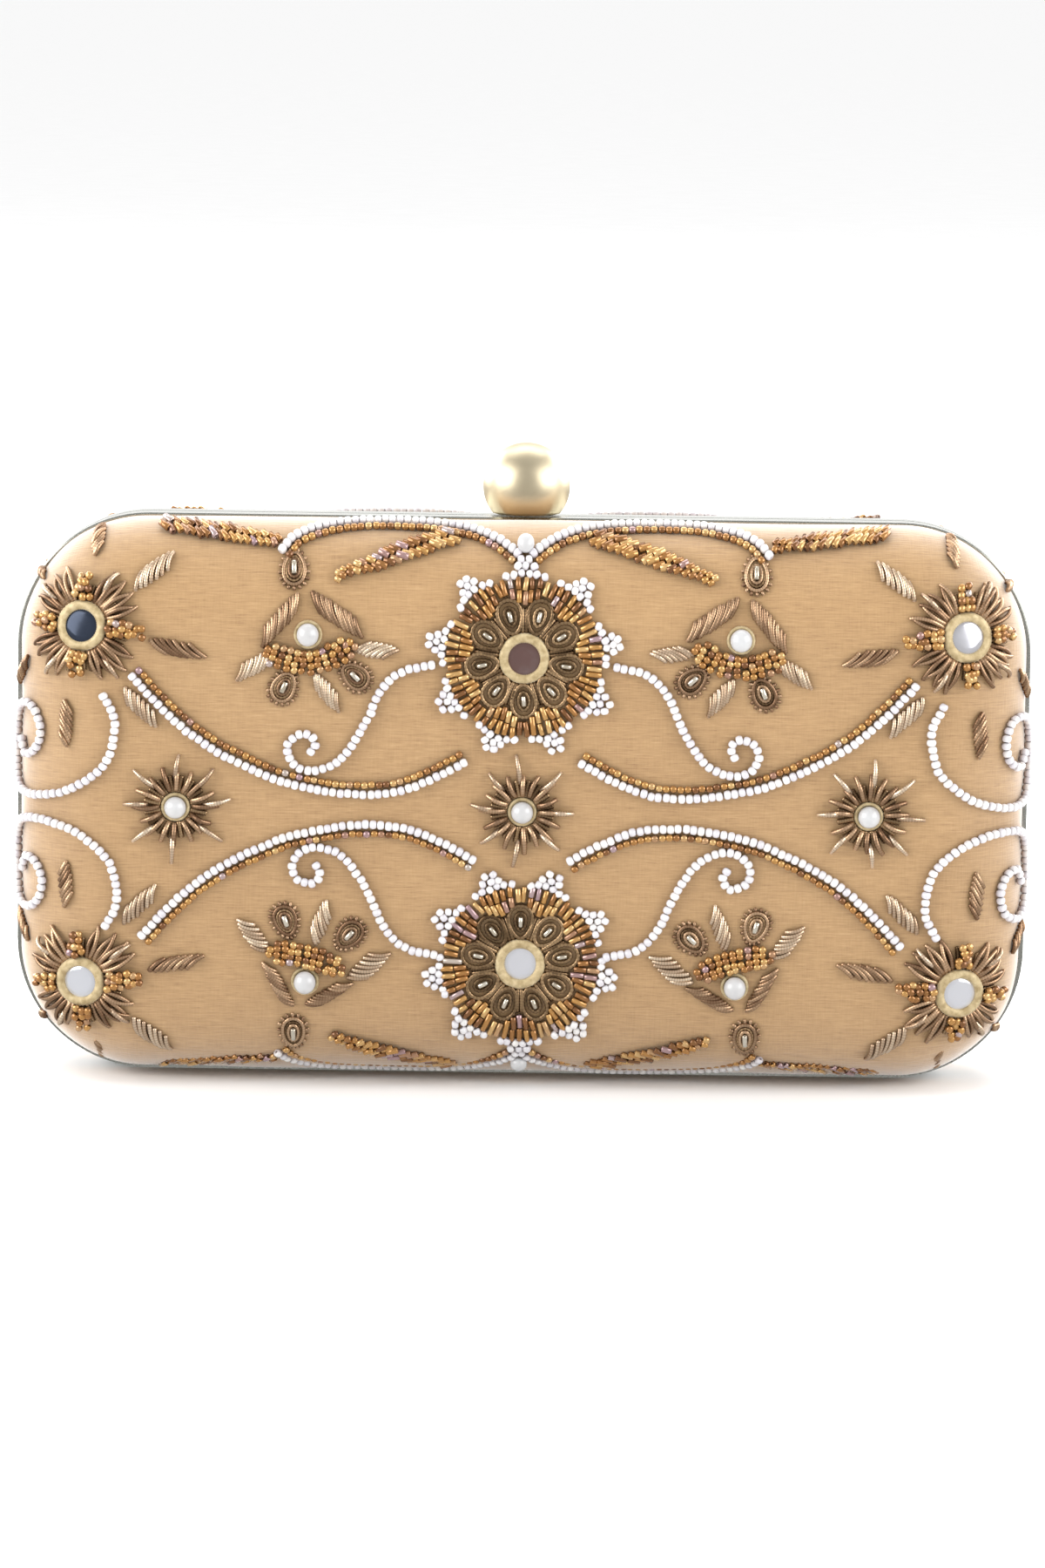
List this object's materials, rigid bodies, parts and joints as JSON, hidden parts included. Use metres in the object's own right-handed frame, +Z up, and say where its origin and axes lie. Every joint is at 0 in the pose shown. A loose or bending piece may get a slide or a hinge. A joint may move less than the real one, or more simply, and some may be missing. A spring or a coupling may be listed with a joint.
{
  "type": "evening bag",
  "caption": "Hard box evening bag: two silk-covered trays in hinged metal rims, embroidered with beads, mirrors and pearls, closed by a ball latch.",
  "frame": {"origin": "middle of the base, on the ground under the parting line of the two rims", "axes": "+X along the width, +Y from the front half to the rear half, +Z up through the ball knob"},
  "size_m": [0.2, 0.0568, 0.1255],
  "materials": {
    "nickel_rim": "satin nickel silver",
    "nickel_part": "satin nickel plate",
    "steel_pin": "drawn steel",
    "spring_steel": "bright spring wire",
    "champagne_ball": "satin champagne gold plate",
    "board": "moulded board",
    "foam": "thin wadding",
    "silk": "slubbed raw silk",
    "lining": "satin lining",
    "mirror": "small sewn mirror",
    "gold_cord": "couched gold thread",
    "pearl": "pearl lustre"
  },
  "bodies": {
    "rear": {"rear_frame": "nickel_rim", "rear_shell": "board", "rear_foam": "foam", "rear_cover": "silk", "rear_lining": "lining", "slip_pocket": "lining", "hinge_pin_left": "steel_pin", "hinge_pin_right": "steel_pin", "latch_bracket": "nickel_part", "latch_rivets": "steel_pin", "latch_pivot_pin": "steel_pin", "latch_spring": "spring_steel", "chain_lug_left": "nickel_part", "chain_lug_right": "nickel_part", "rear_mirrors": "mirror", "rear_mirror_rings": "gold_cord", "rear_pearls": "pearl"},
    "front": {"front_frame": "nickel_rim", "front_shell": "board", "front_foam": "foam", "front_cover": "silk", "front_lining": "lining", "strike_staple": "nickel_part", "strike_rivets": "steel_pin", "front_mirrors": "mirror", "front_mirror_rings": "gold_cord", "front_pearls": "pearl"},
    "knob": {"latch_lever": "nickel_part", "knob_stud": "steel_pin", "knob_ball": "champagne_ball"}
  },
  "joints": [
    {"name": "front_open", "type": "hinge", "parent": "rear", "child": "front", "pos_m": [0, 0, 0.0016], "axis": [1, 0, 0], "range_deg": [0, 100]},
    {"name": "knob_press", "type": "hinge", "parent": "rear", "child": "knob", "pos_m": [0, 0.007, 0.1026], "axis": [-1, 0, 0], "range_deg": [0, 8], "stiffness_Nm_per_rad": 0.2, "springref_deg": -11.46, "deforming": ["latch_spring"]}
  ]
}
